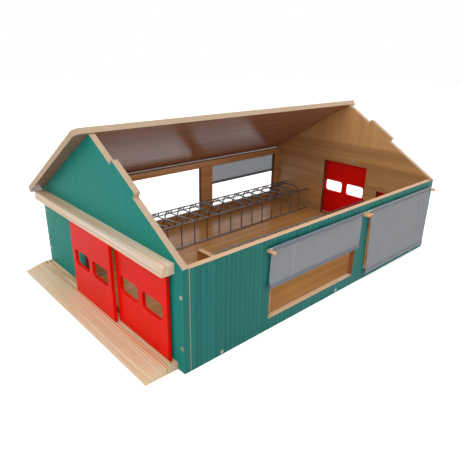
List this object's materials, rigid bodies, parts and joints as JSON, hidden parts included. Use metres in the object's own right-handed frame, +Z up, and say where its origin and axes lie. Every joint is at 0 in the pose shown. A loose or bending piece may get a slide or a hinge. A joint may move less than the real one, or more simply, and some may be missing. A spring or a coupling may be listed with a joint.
{
  "type": "toy barn",
  "caption": "Open toy cattle barn: pitched gables, sliding doors on grooved rails, roll-up cloth curtains, wire cubicles and a lift-off roof half.",
  "frame": {"origin": "middle of the barn's footprint, on the ground", "axes": "+X along the barn from the double-door gable to the far gable, +Y from the curtained front wall to the back wall, +Z up"},
  "size_m": [0.694, 0.425, 0.271],
  "materials": {
    "barn_board": "9 mm board, ribbed teal outside, brown wood veneer inside",
    "floor_veneer": "glossy brown wood veneer",
    "partition_board": "brown veneer with bare edges",
    "pine": "bare planed pine",
    "red_gloss": "red gloss lacquer on thin board",
    "dowel": "bare dowel",
    "fence_wire": "dark burnished wire",
    "screw_steel": "zinc plated",
    "curtain_cloth": "grey woven cloth",
    "curtain_rod": "plain steel rod"
  },
  "bodies": {
    "barn": {"floor_board": "floor_veneer", "door_gable": "barn_board", "far_gable": "barn_board", "front_wall": "barn_board", "back_wall": "barn_board", "door_rail": "pine", "door_ramp": "pine", "far_door_rail": "pine", "far_ramp": "pine", "far_small_door_rail": "pine", "front_curtain_pegs": "dowel", "back_curtain_pegs": "dowel", "cubicle_fence_rails": "fence_wire", "cubicle_fence_posts": "fence_wire", "cubicle_dividers": "fence_wire", "head_rails": "fence_wire", "head_rail_links": "fence_wire", "pen_fence_rail": "fence_wire", "pen_fence_posts": "fence_wire", "pen_partition": "partition_board", "gable_corner_screws": "screw_steel", "wall_foot_screws": "screw_steel", "rail_screws": "screw_steel", "front_left_curtain_top_rod": "curtain_rod", "front_left_curtain": "curtain_cloth", "front_right_curtain_top_rod": "curtain_rod", "front_right_curtain": "curtain_cloth", "back_right_curtain_top_rod": "curtain_rod", "back_right_curtain": "curtain_cloth"},
    "roof": {"roof_panel": "barn_board"},
    "left_door": {"left_door": "red_gloss"},
    "right_door": {"right_door": "red_gloss"},
    "far_large_door": {"far_large_door": "red_gloss"},
    "far_small_door": {"far_small_door": "red_gloss"},
    "front_left_curtain_bar": {"front_left_curtain_bar": "curtain_rod", "front_left_curtain_roll": "curtain_cloth"},
    "front_right_curtain_bar": {"front_right_curtain_bar": "curtain_rod", "front_right_curtain_roll": "curtain_cloth"},
    "back_right_curtain_bar": {"back_right_curtain_bar": "curtain_rod", "back_right_curtain_roll": "curtain_cloth"}
  },
  "joints": [
    {"name": "left_door_slide", "type": "slide", "parent": "barn", "child": "left_door", "axis": [0, 1, 0], "range_m": [-0.125, 0.1155]},
    {"name": "right_door_slide", "type": "slide", "parent": "barn", "child": "right_door", "axis": [0, 1, 0], "range_m": [-0.004, 0.2365]},
    {"name": "far_large_door_slide", "type": "slide", "parent": "barn", "child": "far_large_door", "axis": [0, 1, 0], "range_m": [-0.018, 0.1215]},
    {"name": "far_small_door_slide", "type": "slide", "parent": "barn", "child": "far_small_door", "axis": [0, 1, 0], "range_m": [-0.0345, 0]},
    {"name": "front_left_curtain_lift", "type": "slide", "parent": "barn", "child": "front_left_curtain_bar", "axis": [0, 0, 1], "range_m": [-0.06, 0.036], "deforming": ["front_left_curtain"]},
    {"name": "front_right_curtain_lift", "type": "slide", "parent": "barn", "child": "front_right_curtain_bar", "axis": [0, 0, 1], "range_m": [0, 0.096], "deforming": ["front_right_curtain"]},
    {"name": "back_right_curtain_lift", "type": "slide", "parent": "barn", "child": "back_right_curtain_bar", "axis": [0, 0, 1], "range_m": [-0.072, 0.024], "deforming": ["back_right_curtain"]},
    {"name": "roof_lift", "type": "slide", "parent": "barn", "child": "roof", "axis": [0, 0.5186, 0.855], "range_m": [0, 0.06]}
  ]
}
